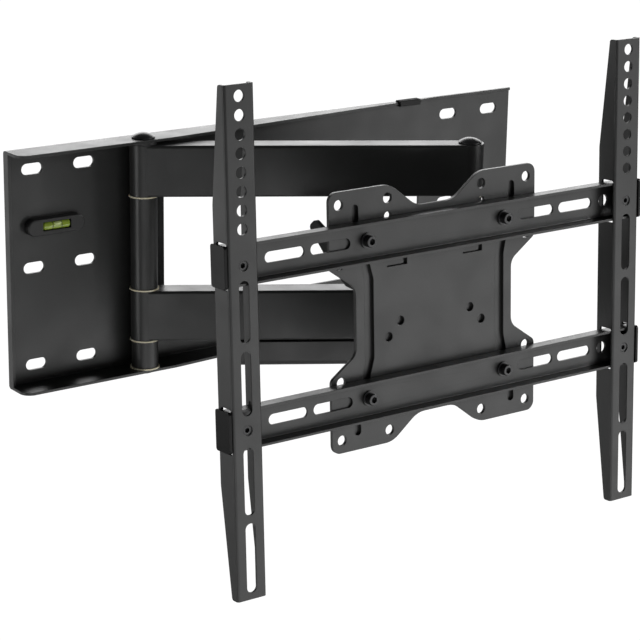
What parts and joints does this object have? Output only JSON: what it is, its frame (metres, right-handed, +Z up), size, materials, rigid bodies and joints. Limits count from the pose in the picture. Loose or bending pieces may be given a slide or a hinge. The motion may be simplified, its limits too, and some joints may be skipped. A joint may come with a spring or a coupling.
{
  "type": "full motion tv wall mount",
  "caption": "Articulating television wall bracket: slotted wall plate, double-tube folding arm, swivelling and tilting VESA head, two rails and two sliding uprights.",
  "frame": {"origin": "middle of the wall plate's back face, which is the centre of its bolt slots", "axes": "+X to the right along the wall, +Y into the wall (the television side is -Y), +Z up"},
  "size_m": [0.56, 0.2762, 0.4216],
  "materials": {
    "black_powder_coat": "satin black powder coat with a fine texture",
    "black_hardware": "black oxide, semi-gloss",
    "zinc_nuts": "zinc plated",
    "pale_washers": "natural nylon",
    "black_housing": "fine moulded texture",
    "vial_liquid": "clear tube filled with yellow-green liquid",
    "black_rubber": "matt",
    "black_cover": "satin moulded",
    "black_plugs": "gloss moulded"
  },
  "bodies": {
    "wall": {"wall_plate": "black_powder_coat", "level_housing": "black_housing", "level_vial": "vial_liquid", "flange_bumper": "black_rubber", "wall_hinge_pin": "black_hardware", "wall_hinge_collar": "black_hardware", "wall_hinge_washers": "pale_washers", "wall_spacer_middle": "black_powder_coat", "wall_spacer_bottom": "black_powder_coat", "wall_spacer_top": "black_powder_coat"},
    "inner_arm": {"inner_arm_upper": "black_powder_coat", "inner_arm_lower": "black_powder_coat", "cable_cover": "black_cover", "elbow_pin": "black_hardware", "elbow_collar": "black_hardware", "elbow_washers": "pale_washers", "elbow_spacers": "black_powder_coat"},
    "outer_arm": {"outer_arm": "black_powder_coat"},
    "head": {"swivel_fork": "black_powder_coat", "swivel_pin": "black_hardware", "swivel_nut": "zinc_nuts", "swivel_washers": "pale_washers", "tilt_bolt": "black_hardware", "tilt_nut": "zinc_nuts", "tilt_washers": "pale_washers"},
    "tilt_lever": {"tilt_lever": "black_powder_coat"},
    "tilt_head": {"vesa_plate": "black_powder_coat", "plate_stiffeners": "black_powder_coat", "tilt_bracket": "black_powder_coat", "rail_top": "black_powder_coat", "rail_bottom": "black_powder_coat", "rail_bolts": "black_hardware", "rail_washers": "black_hardware", "rail_nuts": "zinc_nuts", "rail_end_plugs": "black_plugs"},
    "left_upright": {"upright_left": "black_powder_coat", "lock_screws_left": "black_hardware"},
    "right_upright": {"upright_right": "black_powder_coat", "lock_screws_right": "black_hardware"}
  },
  "joints": [
    {"name": "wall_hinge", "type": "hinge", "parent": "wall", "child": "inner_arm", "pos_m": [-0.152, -0.0183, 0], "axis": [0, 0, -1], "range_deg": [-27, 60]},
    {"name": "elbow", "type": "hinge", "parent": "inner_arm", "child": "outer_arm", "pos_m": [0.09536, -0.16775, 0], "axis": [0, 0, 1], "range_deg": [-33, 110]},
    {"name": "swivel", "type": "hinge", "parent": "outer_arm", "child": "head", "pos_m": [-0.0031, -0.1809, 0], "axis": [0, 0, -1], "range_deg": [-13, 45]},
    {"name": "tilt", "type": "hinge", "parent": "head", "child": "tilt_head", "pos_m": [-0.0031, -0.21527, 0.00852], "axis": [1, 0, 0], "range_deg": [-1.7, 18.3]},
    {"name": "lever_turn", "type": "hinge", "parent": "head", "child": "tilt_lever", "pos_m": [-0.0031, -0.21527, 0.00852], "axis": [1, 0, 0], "range_deg": [-15, 30]},
    {"name": "left_upright_slide", "type": "slide", "parent": "tilt_head", "child": "left_upright", "axis": [1, 0, 0], "range_m": [0, 0.07]},
    {"name": "right_upright_slide", "type": "slide", "parent": "tilt_head", "child": "right_upright", "axis": [-1, 0, 0], "range_m": [0, 0.07]}
  ]
}
